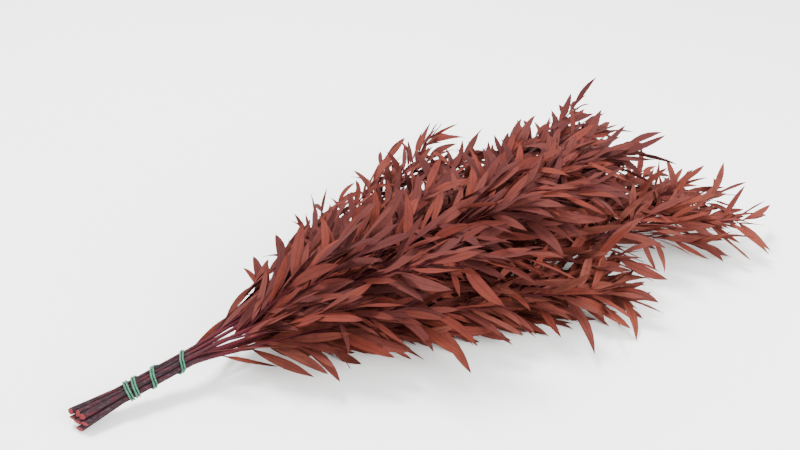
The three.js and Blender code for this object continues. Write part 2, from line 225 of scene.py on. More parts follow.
def stem_of(seat, cut, guide, tip, leaf_size, spread):
    across, through = seat[0] * STEM_PITCH, seat[1] * ROW_PITCH
    cut_end = bundle_point(CUT_X - cut, across * CUT_SPLAY, through * CUT_SPLAY)
    grip_start = bundle_point(GRIP_START, across, through)
    grip_end = bundle_point(GRIP_END, across, through)
    bend = np.array(guide, float)
    leaving = unit(ALONG + unit(bend - grip_end))
    first_bend = grip_end + leaving * (np.linalg.norm(bend - grip_end) * LEAVING)
    handles = (grip_end, first_bend, bend, np.array(tip, float))
    measured = curve_points(handles, MEASURING_STEPS)
    length = np.linalg.norm(np.diff(measured, axis=0), axis=1).sum()
    return {
        "cut_end": cut_end,
        "grip_start": grip_start,
        "route": curve_points(handles, STEM_STEPS),
        "length": length,
        "handles": handles,
        "leaf_size": leaf_size,
        "spread": spread,
    }


stems = [stem_of(*branch) for branch in BRANCHES]
print("stem lengths beyond the grip, mm:", [round(s["length"]) for s in stems])

# %% [markdown]
# Branches lie against each other without passing through. Each thing that has been placed leaves
# its sampled points in a list, and a new shoot or leaf is tried at several turns until none of its
# points comes too near to those of another branch. Towards its own branch it keeps smaller gaps,
# and its first third may touch that branch's wood.

# %% Room between the branches
BOX_MARGIN = 1


class Room:
    def __init__(self):
        self.pieces = []
        self.low = np.empty((0, 3))
        self.high = np.empty((0, 3))

    def take(self, branch, kind, points, reach):
        self.pieces.append((branch, kind, points, reach))
        self.low = np.vstack((self.low, points.min(0)))
        self.high = np.vstack((self.high, points.max(0)))

    def reaches(self, points):
        """Whether the points lie in the box of all that has been placed."""
        low, high = self.low.min(0) - BOX_MARGIN, self.high.max(0) + BOX_MARGIN
        return (points > low).all() and (points < high).all()

    def free(self, branch, points, reach, gap, own_gaps):
        """Whether all points keep these gaps from other branches and from the own one's pieces."""
        most = max(gap, *OWN_GAPS.values()) + reach + STEM_RADIUS
        near = (self.low < points.max(0) + most) & (self.high > points.min(0) - most)
        for i in np.flatnonzero(near.all(1)):
            other, kind, taken, its_reach = self.pieces[i]
            least = own_gaps.get(kind) if other == branch else gap
            if least is None:
                continue
            limit = least + reach + its_reach
            tested = points[len(points) // 3:] if other == branch and kind != "leaf" else points
            apart = tested[:, None, :] - taken[None, :, :]
            if (np.einsum("ijk,ijk->ij", apart, apart) < limit * limit).any():
                return False
        return True


def points_along(route, length, start=0.0):
    count = math.ceil(length / SAMPLE_STEP)
    return np.array([along_route(route, mix(start, 1, i / count))[0] for i in range(count + 1)])


room = Room()
usual_radius = mix(STEM_RADIUS, STEM_TIP_RADIUS, 0.4)
for b, stem in enumerate(stems):
    room.take(b, "stem", points_along(stem["route"], stem["length"]), usual_radius)
print(len(room.pieces), "stems stand in the bundle")

# %% [markdown]
# A side shoot leaves its stem at a narrow angle and bends forward along it, each a golden turn
# further round than the last. Near the band the angle is narrower still, and towards the tip of the
# stem shoots get shorter.

# %% One side shoot
SHOOT_TRY_TURN = 0.7
SHOOT_LOOSE_TURN = 0.6
SHOOT_OPENING = (0.3, 0.6)
SHOOT_KEPT_OPEN = (0.25, 0.7)
SHOOT_LENGTHS = (0.8, 1.1)
SHOOT_NARROWED = 0.35
SHOOT_FULL_FROM = 0.45


def shoot_at(stem, share, number, draw, attempt):
    base, along = along_route(stem["route"], share)
    side, up = sides_of(along)
    turn = number * TURN + attempt * SHOOT_TRY_TURN + draw() * SHOOT_LOOSE_TURN
    narrowed = mix(SHOOT_NARROWED, 1, clamp01(share / SHOOT_FULL_FROM))
    opening = mix(*SHOOT_OPENING, draw()) * stem["spread"] * narrowed
    closing = opening * mix(*SHOOT_KEPT_OPEN, draw())
    length = SHOOT_LENGTH * (1 - SHOOT_SHRINK * share) * mix(*SHOOT_LENGTHS, draw())
    outward = outward_at(side, up, turn)
    handles = [base]
    for angle in (opening, closing):
        aim = along * math.cos(angle) + outward * math.sin(angle)
        handles.append(handles[-1] + aim * (length / 2))
    for handle in handles[1:]:
        handle[2] = max(handle[2], SHOOT_FLOOR)
    return {"handles": handles, "route": curve_points(handles, SHOOT_STEPS), "length": length}


trial = shoot_at(stems[0], 0.5, 0, draws_from(1), 0)
print("a shoot half way up the first stem would be", round(trial["length"]), "mm long")

# %% [markdown]
# The solids have fewer than half of the shoots. The others, called fine here, are grown once the
# leaves of the solids are in place: as many again on the front branches, and twice as many on the
# five at the back and right, four of which also spread them wider. In the two rules below,
# branches are counted from 0.

# %% All the side shoots
SHOOT_FOOT = 0.1  # the share of a shoot next to its stem that needs no room
SOLID_SHOOT = {"radius": SHOOT_RADIUS, "gap": SHOOT_GAP, "round": 0, "seed": 0, "times": {}, "wider": {}}
FINE_SHOOT = {
    "radius": 0.6,
    "gap": 0.4,
    "round": 2,
    "seed": 500,
    "times": {5: 2, 6: 2, 7: 2, 8: 2, 9: 2},
    "wider": {6: 1.2, 7: 1.8, 8: 1.4, 9: 1.15},
}


def grow_shoots(b, fine=False):
    stem, grown = stems[b], []
    rule = FINE_SHOOT if fine else SOLID_SHOOT
    grower = dict(stem, spread=stem["spread"] * rule["wider"].get(b, 1))
    count = math.floor(stem["length"] * (SHOOTS_TO - SHOOTS_FROM) / SHOOT_SPACING + 0.5)
    count *= rule["times"].get(b, 1)
    for s in range(count):
        share = mix(SHOOTS_FROM, SHOOTS_TO, ((s + 0.5) / count) ** SHOOTS_CROWD)
        draw = draws_from(1000 * (b + 1) + s + rule["seed"])
        for attempt in range(SHOOT_TRIES):
            shoot = shoot_at(grower, share, s + b + rule["round"], draw, attempt)
            points = points_along(shoot["route"], shoot["length"], SHOOT_FOOT)
            own_gaps = {"shoot": OWN_GAPS["shoot"]}
            if fine and not room.reaches(points):
                continue
            if room.free(b, points, rule["radius"], rule["gap"], own_gaps):
                room.take(b, "shoot", points, rule["radius"])
                grown.append({"branch": b, "share": share, "is_stem": False, **shoot})
                break
    return grown


def leafy_stem(b):
    return {"branch": b, "share": 0.5, "is_stem": True, **stems[b]}


shoots = [shoot for b in range(len(stems)) for shoot in grow_shoots(b) + [leafy_stem(b)]]
print(len(shoots) - len(stems), "side shoots of the solids")

# %% [markdown]
# A willow eucalyptus leaf is long, narrow and bent like a sickle, widest before its middle, with a
# long fine tip and a short stalk. It hangs a little, and one that reaches the table lies flat on it.

# %% The outline of a leaf, and its sections
STALK_SHARE = 0.06
SWELL_START = 0.8
SWELL_END = 0.95
SWELL_MOST = 3.34
SETTLING = 0.7  # the share of LEAF_FLOOR, from the top down, over which a leaf turns flat
SLOPING = 0.3  # the share of a leaf, from its stalk, that comes down to the table at a slope


def along_blade(share):
    """The share of the blade alone, at a share of the leaf with its stalk."""
    return clamp01((share - STALK_SHARE) / (1 - STALK_SHARE))


def half_width_at(share, width):
    blade = along_blade(share)
    swell = blade ** SWELL_START * (1 - blade) ** SWELL_END * SWELL_MOST
    return max(width / 2 * swell, PETIOLE_HALF if share < 1 else 0)


def leaf_section_at(leaf, share):
    """A leaf's place, direction, direction across and flatness at a share of its length."""
    place = leaf["base"] + leaf["start"] * (leaf["length"] * (share - share * share / 2))
    place = place + leaf["end"] * (leaf["length"] * share * share / 2)
    along = mix(leaf["start"], leaf["end"], share)
    place[2] = max(place[2], 0)
    low = clamp01((LEAF_FLOOR - place[2]) / (LEAF_FLOOR * SETTLING))
    flat = clamp01(share / SLOPING) * low
    along[2] *= 1 - flat
    along = unit(along)
    across = leaf["across"].copy()
    across[2] *= 1 - flat
    across = unit(across - along * across.dot(along))
    return place, along, across, flat


widest = max(range(100), key=lambda percent: half_width_at(percent / 100, LEAF_LENGTH * LEAF_SLENDER))
print("a leaf of the solids is widest at", widest, "% of its length")

# %% One leaf
LEAF_TRY_TURN = 0.9
LEAF_LOOSE_TURN = 0.8
LEAF_OPENING = (0.24, 0.8)
STRAY_ANGLE = 0.6
LEAF_NARROWED = 0.22
LEAF_FULL_FROM = 0.35
LEAF_LENGTHS = (0.78, 1.22)
LEAF_SHRINK = 0.12
LEAF_WIDTHS = (0.85, 1.2)
LEAF_ROLL = 1.1
LEAF_SICKLE = 1.6
LEAF_DROOP = (0.05, 0.4)


def leaf_at(base, along, number, share, stem, draw, attempt, strays):
    side, up = sides_of(along)
    turn = number * TURN + attempt * LEAF_TRY_TURN + draw() * LEAF_LOOSE_TURN
    stray = STRAY_ANGLE if draw() < strays else 0
    ease = mix(LEAF_NARROWED, 1, clamp01(share / LEAF_FULL_FROM))
    opening = (mix(*LEAF_OPENING, draw()) * stem["spread"] + stray) * ease
    length = LEAF_LENGTH * stem["leaf_size"] * mix(*LEAF_LENGTHS, draw()) * (1 - LEAF_SHRINK * share)
    width = length * LEAF_SLENDER * mix(*LEAF_WIDTHS, draw())
    roll = (draw() + draw() - 1) * LEAF_ROLL
    sickle = (draw() - 0.5) * LEAF_SICKLE * ease
    droop = mix(*LEAF_DROOP, draw()) * ease
    outward = outward_at(side, up, turn)
    start = unit(along * math.cos(opening) + outward * math.sin(opening))
    flat_side, flat_up = sides_of(start)
    across = flat_side * math.cos(roll) + flat_up * math.sin(roll)
    end = unit(start + across * sickle - UP * droop)
    return {"base": base, "start": start, "end": end, "across": across, "length": length, "width": width}


# %% [markdown]
# Whether a leaf has room is tested at points on its blade: four across where it is wide, one where
# it is narrow, and none next to its stalk.

# %% Points on a leaf
LEAF_FOOT = 0.15
WIDE_HALF = 1.3
POINTS_ACROSS = (-1, -0.33, 0.33, 1)


def points_on(leaf):
    count = math.ceil(leaf["length"] / SAMPLE_STEP)
    points = []
    for i in range(count + 1):
        share = mix(LEAF_FOOT, 1, i / count)
        place, _, across, _ = leaf_section_at(leaf, share)
        half = half_width_at(share, leaf["width"])
        offsets = POINTS_ACROSS if half > WIDE_HALF else (0,)
        points.extend(place + across * (half * offset) for offset in offsets)
    return np.array(points)


trial = leaf_at(np.zeros(3), ALONG, 0, 1, stems[0], draws_from(1), 0, 0)
print("a leaf of", round(trial["length"]), "mm is tested at", len(points_on(trial)), "points")

# %% [markdown]
# The leaves of the solids are placed first, at every third place along a shoot and always at its
# end. Then come the fine shoots, and the fine leaves between. Those are a little smaller, and may
# lie closer together, as thin leaves can, most of all far out. More of them stray from the lie of
# the rest, few reach the table, and all keep to the box that the solids fill.
#
# In the rules, own holds the gaps from pieces of the same branch, below zero where they may
# overlap. The pairs closer and bent hold a value near the band and one far out. The leaves' spacing
# is multiplied by closer, and once more on the branches in spacing_on, counted from 0.

# %% The rules for leaves
SHOOT_LEAFY_FROM = 0.12
FEWEST_LEAVES = 3
END_SETBACK = 1.5  # the last leaf sits this far before the end
KEPT_ON_TABLE = 0.25  # of the fine leaves that would reach the table, this share is kept
LEAF_SEEDS = 100000
SOLID_LEAF = {
    "tries": LEAF_TRIES,
    "reach": LEAF_REACH,
    "gap": LEAF_GAP,
    "own": OWN_GAPS,
    "closer": (1, 1),
    "spacing_on": {},
    "start": LEAFY_FROM,
    "strays": 0.12,
    "seed": 0,
}
FINE_LEAF = {
    "tries": 12,
    "reach": 0.2,
    "gap": 0,
    "own": {"leaf": -0.1, "stem": -0.5, "shoot": -0.5},
    "closer": (0.94, 0.44),
    "spacing_on": {5: 0.9, 6: 0.8, 7: 0.65, 8: 0.75, 9: 0.8},
    "start": 0.2,
    "strays": 0.24,
    "seed": 50,
    "bent": (0.5, 0.7),
    "size": 0.93,
}
print("a fine leaf is", FINE_LEAF["size"], "times as long and wide as one of the solids")

# %% All the leaves
NEAR_UNTIL = 120
FAR_FROM = 300


def outness(place):
    """0 for what grows near the band, 1 for what grows far out."""
    return clamp01((place[0] - NEAR_UNTIL) / (FAR_FROM - NEAR_UNTIL))


def seats_on(shoot, rule):
    """The shares of a shoot's length at which leaves sit. The last one sits at its end."""
    start = rule["start"] if shoot["is_stem"] else SHOOT_LEAFY_FROM
    spacing = STEM_LEAF_SPACING if shoot["is_stem"] else LEAF_SPACING
    spacing *= mix(*rule["closer"], outness(shoot["route"][1]))
    spacing *= rule["spacing_on"].get(shoot["branch"], 1)
    count = max(FEWEST_LEAVES, math.floor(shoot["length"] * (1 - start) / spacing + 0.5))
    seats = [mix(start, 1, (k + 0.5) / count) for k in range(count)]
    seats[-1] = 1 - END_SETBACK / shoot["length"]
    return seats


def make_fine(leaf, draw):
    """Bends a leaf to either side by chance and makes it a little smaller."""
    bend = (draw() - 0.5) * mix(*FINE_LEAF["bent"], outness(leaf["base"]))
    leaf["end"] = unit(leaf["end"] + leaf["across"] * bend)
    leaf["length"] *= FINE_LEAF["size"]
    leaf["width"] *= FINE_LEAF["size"]


def fine_leaf_fits(points, draw):
    """Whether a fine leaf stays in the box, and off the table or among the few that reach it."""
    if not room.reaches(points):
        return False
    return points[-1][2] >= LEAF_FLOOR or draw() <= KEPT_ON_TABLE


def grow_leaves(solid):
    grown = []
    rule = SOLID_LEAF if solid else FINE_LEAF
    for number, shoot in enumerate(shoots):
        b, seats = shoot["branch"], seats_on(shoot, rule)
        for k, at in enumerate(seats):
            if solid and (len(seats) - 1 - k) % LEAVES_PER_SOLID_ONE != 0:
                continue
            base, along = along_route(shoot["route"], at)
            draw = draws_from(LEAF_SEEDS + 100 * number + k + rule["seed"])
            far = at if shoot["is_stem"] else shoot["share"]
            for attempt in range(rule["tries"]):
                leaf = leaf_at(base, along, k, far, stems[b], draw, attempt, rule["strays"])
                if not solid:
                    make_fine(leaf, draw)
                points = points_on(leaf)
                if not solid and not fine_leaf_fits(points, draw):
                    continue
                if room.free(b, points, rule["reach"], rule["gap"], rule["own"]):
                    room.take(b, "leaf", points, rule["reach"])
                    grown.append({"branch": b, "shoot": shoot, "at": at, **leaf})
                    break
    return grown


solid_leaves = grow_leaves(True)
fine_shoots = [shoot for b in range(len(stems)) for shoot in grow_shoots(b, fine=True)]
shoots += fine_shoots
fine_leaves = grow_leaves(False)
leaves = solid_leaves + fine_leaves
print(len(solid_leaves), "leaves of the solids")
print(len(fine_shoots), "fine shoots and", len(fine_leaves), "leaves between them")

# %% [markdown]
# ## From growth to shapes
#
# The grown lines are in millimetres from the middle of the band. The part's origin lies elsewhere,
# under the middle of the whole bunch. One cut end, found in its solid, tells how far apart the two
# origins are.

# %% From the bunch's millimetres to the part's metres
END_RING_DEPTH = 0.004


def cad_cut_end(node_name):
    points = np.array([v.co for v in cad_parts[node_name].data.vertices])
    end_ring = points[points[:, 0] < points[:, 0].min() + END_RING_DEPTH]
    return np.unique(end_ring.round(6), axis=0).mean(0)


shift = cad_cut_end("branch_9") - stems[8]["cut_end"] / 1000
shift[2] = 0
print("the part's origin is", (-shift * 1000).round(1), "mm from the middle of the band")


def metres(points):
    return np.asarray(points) / 1000 + shift


# %% [markdown]
# ### Guide lines
#
# Leaves and stems all follow lines, so each kind is one Geometry Nodes tree that turns guide lines
# into shapes. A guide line is a chain of edges, and its points carry what the tree needs to know
# there, such as the half width of the blade.

# %% Guide lines as chains of edges
def new_object(name, data):
    made = bpy.data.objects.new(name, data)
    bpy.context.scene.collection.objects.link(made)
    return made


def guide_lines(name, chains, closed=False):
    """An object of edge chains. Each chain is a dict of arrays: points, and its attributes."""
    mesh = bpy.data.meshes.new(name)
    points = np.vstack([chain["points"] for chain in chains])
    edges, first = [], 0
    for chain in chains:
        count = len(chain["points"])
        edges += [(first + i, first + i + 1) for i in range(count - 1)]
        if closed:
            edges.append((first + count - 1, first))
        first += count
    mesh.from_pydata(metres(points).tolist(), edges, [])
    for key in chains[0]:
        if key == "points":
            continue
        values = np.concatenate([np.asarray(chain[key], float) for chain in chains])
        kind = "FLOAT" if values.ndim == 1 else "FLOAT_VECTOR"
        data = mesh.attributes.new(key, kind, "POINT").data
        data.foreach_set("value" if kind == "FLOAT" else "vector", values.ravel())
    return new_object(name, mesh)


# %% A short way to write a tree of nodes
def add(tree, kind, given=None, **settings):
    """A new node, its settings set and each given input linked or given a value."""
    made = tree.nodes.new(kind)
    for name, value in settings.items():
        setattr(made, name, value)
    for key, value in (given or {}).items():
        if isinstance(value, bpy.types.NodeSocket):
            tree.links.new(value, made.inputs[key])
        else:
            made.inputs[key].default_value = value
    return made


def calc(tree, operation, *values):
    return add(tree, "ShaderNodeMath", dict(enumerate(values)), operation=operation).outputs[0]


def calc_vector(tree, operation, *values):
    made = add(tree, "ShaderNodeVectorMath", operation=operation)
    for socket, value in zip([s for s in made.inputs if s.enabled], values):
        tree.links.new(value, socket)
    return next(s for s in made.outputs if s.enabled)


def noise(tree, place, scale, detail):
    given = {"Vector": place, "Scale": scale, "Detail": detail}
    return add(tree, "ShaderNodeTexNoise", given).outputs["Fac"]


def carried(tree, name, kind="FLOAT"):
    """What the points carry under a name."""
    named = add(tree, "GeometryNodeInputNamedAttribute", {"Name": name}, data_type=kind)
    return named.outputs["Attribute"]


def carry(tree, geometry, name, value, kind="FLOAT"):
    """The geometry, whose points now carry a value under a name."""
    given = {"Geometry": geometry, "Name": name, "Value": value}
    kept = add(tree, "GeometryNodeStoreNamedAttribute", given, data_type=kind, domain="POINT")
    return kept.outputs["Geometry"]


# %% Starting and ending a Geometry Nodes tree
def start_tree(name, sizes):
    """A tree with named inputs, whose guide lines become curves that carry their own middle."""
    tree = bpy.data.node_groups.new(name, "GeometryNodeTree")
    sockets = tree.interface
    sockets.new_socket("Guide lines", in_out="INPUT", socket_type="NodeSocketGeometry")
    for size, value in sizes.items():
        socket = sockets.new_socket(size, in_out="INPUT", socket_type="NodeSocketFloat")
        socket.default_value = value
    sockets.new_socket("Material", in_out="INPUT", socket_type="NodeSocketMaterial")
    sockets.new_socket("Shape", in_out="OUTPUT", socket_type="NodeSocketGeometry")
    given = tree.nodes.new("NodeGroupInput").outputs
    here = add(tree, "GeometryNodeInputPosition").outputs[0]
    lines = add(tree, "GeometryNodeMeshToCurve", {"Mesh": given["Guide lines"]}).outputs[0]
    return tree, given, here, carry(tree, lines, "middle", here, "FLOAT_VECTOR")


def end_tree(tree, geometry, material):
    smooth = add(tree, "GeometryNodeSetShadeSmooth", {"Geometry": geometry})
    real = add(tree, "GeometryNodeRealizeInstances", {"Geometry": smooth.outputs[0]})
    dressed = add(tree, "GeometryNodeSetMaterial", {"Geometry": real.outputs[0], "Material": material})
    add(tree, "NodeGroupOutput", {"Shape": dressed.outputs[0]})


# %% From a tree to a plain mesh
CREASE = math.radians(50)


def grow_mesh(name, tree, guides, material, sizes=None, drop=()):
    """Runs a tree on guide lines and keeps the result as a plain mesh object."""
    modifier = guides.modifiers.new(tree.name, "NODES")
    modifier.node_group = tree
    wanted = {"Material": material, **(sizes or {})}
    for item in tree.interface.items_tree:
        if item.in_out == "INPUT" and item.name in wanted:
            modifier[item.identifier] = wanted[item.name]
    bpy.context.view_layer.update()
    evaluated = guides.evaluated_get(bpy.context.evaluated_depsgraph_get())
    mesh = bpy.data.meshes.new_from_object(evaluated)
    guides.modifiers.remove(modifier)
    bpy.data.objects.remove(guides)
    for attribute in drop:
        mesh.attributes.remove(mesh.attributes[attribute])
    mesh.set_sharp_from_angle(angle=CREASE)
    mesh.name = name
    return new_object(name, mesh)


# %% [markdown]
# ### The blades
#
# A blade could be modelled once and copied, but no two dried leaves bend alike. So each has its own
# guide line, and a thin four-sided section is swept along it: two sharp edges, and a midrib above
# and below.

# %% The tree of the blades: a section along each line
BLADE_CORNERS = 4

blade_tree, given, here, lines = start_tree("Blades", {"Edge wave": 0.12, "Waves": 9.0})
ring = {"Resolution": BLADE_CORNERS, "Radius": 1.0}
circle = add(blade_tree, "GeometryNodeCurvePrimitiveCircle", ring)
corner = add(blade_tree, "ShaderNodeSeparateXYZ", {"Vector": here})
section = carry(blade_tree, circle.outputs["Curve"], "side", corner.outputs["X"])
section = carry(blade_tree, section, "face", corner.outputs["Y"])
swept = {"Curve": lines, "Profile Curve": section, "Fill Caps": True}
blades = add(blade_tree, "GeometryNodeCurveToMesh", swept).outputs[0]

side, face = carried(blade_tree, "side"), carried(blade_tree, "face")
half_width, half_thick = carried(blade_tree, "half_width"), carried(blade_tree, "half_thick")
fold, along = carried(blade_tree, "fold"), carried(blade_tree, "leaf_along")
print("blade tree so far:", len(blade_tree.nodes), "nodes")

# %% [markdown]
# The tree then moves every point to its place across the blade, folds the halves up a little along
# the midrib, and lets the edges wave. The two edges of a blade, and different blades, wave at
# different places.

# %% The tree of the blades: the place of each point
EDGES_APART = 1.7
BLADES_APART = 40.0

out_to_side = calc(blade_tree, "MULTIPLY", side, half_width)
from_midrib = calc(blade_tree, "ABSOLUTE", out_to_side)
phase = calc(blade_tree, "MULTIPLY", fold, BLADES_APART)
phase = calc(blade_tree, "MULTIPLY_ADD", side, EDGES_APART, phase)
ripple = calc(blade_tree, "SINE", calc(blade_tree, "MULTIPLY_ADD", along, given["Waves"], phase))
lift = calc(blade_tree, "MULTIPLY_ADD", ripple, given["Edge wave"], fold)
height = calc(blade_tree, "MULTIPLY", from_midrib, lift)
height = calc(blade_tree, "MAXIMUM", height, carried(blade_tree, "floor"))
thickness = calc(blade_tree, "MULTIPLY_ADD", face, half_thick, half_thick)
height = calc(blade_tree, "ADD", height, thickness)

place = carried(blade_tree, "middle", "FLOAT_VECTOR")
for direction, length in (("across", out_to_side), ("up", height)):
    given_out = {0: carried(blade_tree, direction, "FLOAT_VECTOR"), "Scale": length}
    offset = add(blade_tree, "ShaderNodeVectorMath", given_out, operation="SCALE").outputs[0]
    place = calc_vector(blade_tree, "ADD", place, offset)
placed = add(blade_tree, "GeometryNodeSetPosition", {"Geometry": blades, "Position": place}).outputs[0]
pattern = {"X": along, "Y": side, "Z": carried(blade_tree, "leaf_tone")}
pattern = add(blade_tree, "ShaderNodeCombineXYZ", pattern).outputs[0]
placed = carry(blade_tree, placed, "leaf_map", pattern, "FLOAT_VECTOR")
end_tree(blade_tree, placed, given["Material"])
print("blade tree:", len(blade_tree.nodes), "nodes")

# %% [markdown]
# Each blade draws its own twist, fold, width, tip and tone. Blades near the band have blunter tips
# than those far out. Each branch also sets a tone, partly uneven dye and partly painted shade: the
# front branches are lighter, and the back and top ones are painted deeper, as if in shade. Where a
# blade lies flat, it carries the table as its floor, and its edges never wave below that.

# %% The guide line of one leaf
BLADE_STATIONS = (0, 0.06, 0.12, 0.2, 0.32, 0.46, 0.6, 0.74, 0.86, 0.95, 1)
BLADE_SEEDS = 500000
STALK_HALF_THICK = 0.38
BLADE_HALF_THICK = 0.16
STALK_THICK_UNTIL = 0.1
TIP_HALF = 0.12
TWIST_MOST = 0.6
FOLDS = (-0.08, 0.3)
BLADE_WIDTHS = (0.88, 1.12)
WIDTH_NEAR, WIDTH_FAR = 0.88, 0.92
TIP_POWER_NEAR, TIP_POWER_FAR = 0.72, 0.85
TIP_POWER_VARIES = 0.2
START_POWER = 0.85
# The tone is deepest at 0 and lightest at 1. Each branch's part of it is uneven dye and painted
# shade: the back and top branches are painted deeper, as if in shade.
DYE_AND_SHADE_TONES = (0.6, 0.6, 0.6, 0.45, 0.4, 0.3, 0.1, -0.1, -0.2, -0.15)
DYE_VARIES = 0.6
MOSTLY_FLAT = 0.5


def blade_half_width(share, width, tip):
    """Half the width of a blade that narrows the later, the smaller the power tip is."""
    blade = along_blade(share)
    middle = START_POWER / (START_POWER + tip)
    swell = (blade / middle) ** START_POWER * ((1 - blade) / (1 - middle)) ** tip
    return max(width / 2 * swell, PETIOLE_HALF if share < 1 else 0)


def blade_guide(leaf, number):
    draw = draws_from(BLADE_SEEDS + number)
    twist = (draw() * 2 - 1) * TWIST_MOST
    fold = mix(*FOLDS, draw())
    # the branch's part of the tone is painted shade that deepens the back and top branches, and the drawn
    # part is uneven dye
    tone = DYE_AND_SHADE_TONES[leaf["branch"]] + DYE_VARIES * draw()
    out = outness(leaf["base"])
    width = leaf["width"] * mix(WIDTH_NEAR, WIDTH_FAR, out) * mix(*BLADE_WIDTHS, draw())
    tip = mix(TIP_POWER_NEAR, TIP_POWER_FAR, out) + TIP_POWER_VARIES * draw()
    rows = {key: [] for key in ("points", "across", "up", "half_width", "half_thick", "floor")}
    for share in BLADE_STATIONS:
        place, along, across, flat = leaf_section_at(leaf, share)
        up = np.cross(along, across)
        if up[2] < 0 and flat > MOSTLY_FLAT:
            up, across = -up, -across
        angle = twist * share * share * (1 - flat)
        turned = across * math.cos(angle) + up * math.sin(angle)
        stalk = clamp01(1 - share / STALK_THICK_UNTIL)
        rows["points"].append(place + leaf["seat"])
        rows["across"].append(turned)
        rows["up"].append(np.cross(along, turned))
        half = blade_half_width(share, width, tip)
        rows["half_width"].append(max(half, TIP_HALF) / 1000)
        rows["half_thick"].append(mix(BLADE_HALF_THICK, STALK_HALF_THICK, stalk) / 1000)
        rows["floor"].append(-1.0 if flat < MOSTLY_FLAT else 0.0)
    count = len(BLADE_STATIONS)
    rows["half_thick"][-1] = TIP_HALF / 1000
    rows.update(leaf_along=BLADE_STATIONS, fold=[fold] * count, leaf_tone=[tone] * count)
    return rows


print(len(BLADE_STATIONS), "stations along a blade")

# %% [markdown]
# ### The stems and shoots
#
# Stems and shoots are round rods that taper. The tree sweeps a circle whose size is carried by the
# guide line, and then pushes the skin in and out a little with noise, as dried bark has it. A stem
# is cut at a slant: the first point of its line carries that slant, and the tree moves the points
# round it along the stem.

# %% The tree of the stems: rods
stem_sizes = {"Sides": 9.0, "Bark relief": 0.00012, "Relief scale": 380.0}
stem_tree, given, here, lines = start_tree("Stems", stem_sizes)
sides = add(stem_tree, "FunctionNodeFloatToInt", {"Float": given["Sides"]}).outputs[0]
circle = add(stem_tree, "GeometryNodeCurvePrimitiveCircle", {"Resolution": sides, "Radius": 1.0})
corner = add(stem_tree, "ShaderNodeSeparateXYZ", {"Vector": here})
angle_round = calc(stem_tree, "ARCTAN2", corner.outputs["Y"], corner.outputs["X"])
section = carry(stem_tree, circle.outputs["Curve"], "round", angle_round)
thick = carried(stem_tree, "thick")
swept = {"Curve": lines, "Profile Curve": section, "Scale": thick, "Fill Caps": True}
rods = add(stem_tree, "GeometryNodeCurveToMesh", swept).outputs[0]
print("a stem has", round(stem_sizes["Sides"]), "sides")

# %% The tree of the stems: bark relief and slanted cuts
bumps = noise(stem_tree, here, scale=given["Relief scale"], detail=1.0)
centred = calc(stem_tree, "SUBTRACT", bumps, 0.5)
push = calc(stem_tree, "MULTIPLY", centred, calc(stem_tree, "MULTIPLY", given["Bark relief"], 2.0))
normal = add(stem_tree, "GeometryNodeInputNormal").outputs[0]
offset = add(stem_tree, "ShaderNodeVectorMath", {0: normal, "Scale": push}, operation="SCALE").outputs[0]
rods = add(stem_tree, "GeometryNodeSetPosition", {"Geometry": rods, "Offset": offset}).outputs[0]

from_middle = calc_vector(stem_tree, "SUBTRACT", here, carried(stem_tree, "middle", "FLOAT_VECTOR"))
slant = carried(stem_tree, "slant", "FLOAT_VECTOR")
leant = calc_vector(stem_tree, "DOT_PRODUCT", from_middle, slant)
given_out = {0: carried(stem_tree, "out", "FLOAT_VECTOR"), "Scale": leant}
offset = add(stem_tree, "ShaderNodeVectorMath", given_out, operation="SCALE").outputs[0]
rods = add(stem_tree, "GeometryNodeSetPosition", {"Geometry": rods, "Offset": offset}).outputs[0]

pattern = {"X": carried(stem_tree, "reach"), "Y": carried(stem_tree, "round"), "Z": thick}
pattern = add(stem_tree, "ShaderNodeCombineXYZ", pattern).outputs[0]
rods = carry(stem_tree, rods, "stem_map", pattern, "FLOAT_VECTOR")
end_tree(stem_tree, rods, given["Material"])
print("stem tree:", len(stem_tree.nodes), "nodes")

# %% The cut ends' slants
CUT_SLOPE = 0.75
CUT_ANGLE = 0.3
CUT_ANGLE_VARIES = 0.5


def slanted(stem):
    """The way out of a cut end, and the slant of its cut, which faces up and to the front."""
    out = unit(stem["cut_end"] - stem["grip_start"])
    angle = CUT_ANGLE + CUT_ANGLE_VARIES * (stem["length"] % 3)
    return out, -CUT_SLOPE * (UP * math.cos(angle) - ACROSS * math.sin(angle))


def straight_cut(count):
    return {"out": np.zeros((count, 3)), "slant": np.zeros((count, 3))}


print("the cuts slope by", CUT_SLOPE)

# %% The guide lines of the stems and shoots
BARK_RADIUS = 1.74
CUT_BARK_RADIUS = 2.6
SHOOT_BASE_RADIUS = 0.95
SHOOT_END_RADIUS = 0.38
STEM_END_RADIUS = 0.6
STEM_TAPER = 0.7
BARE_STATIONS = (0, 0.2, 0.5, 0.8)
GRIP_STATIONS = (0, 0.33, 0.67)
STEM_GUIDE_STEPS = 30
SHOOT_GUIDE_STEPS = 12
YOUNG_REACH = 90  # bark looks younger with the way from the cut end, and a shoot's way starts at this


def reach_along(points):
    """How far along the line each point lies, in millimetres."""
    steps = np.linalg.norm(np.diff(points, axis=0), axis=1)
    return np.concatenate(((0.0,), np.cumsum(steps)))


def stem_guide(stem):
    out, slant = slanted(stem)
    cut_end = stem["cut_end"] - out * (CUT_SLOPE * CUT_RADIUS)
    straight = [mix(cut_end, stem["grip_start"], t) for t in BARE_STATIONS]
    straight += [mix(stem["grip_start"], stem["route"][0], t) for t in GRIP_STATIONS]
    points = np.vstack((straight, curve_points(stem["handles"], STEM_GUIDE_STEPS)))
    share = np.clip((np.arange(len(points)) - len(straight)) / STEM_GUIDE_STEPS, 0, 1)
    thick = mix(BARK_RADIUS, STEM_END_RADIUS, share ** STEM_TAPER)
    thick[:len(BARE_STATIONS)] = mix(CUT_BARK_RADIUS, BARK_RADIUS, np.array(BARE_STATIONS))
    cut = straight_cut(len(points))
    cut["out"][0], cut["slant"][0] = out, slant
    return {"points": points, "thick": thick / 1000, "reach": reach_along(points), **cut}


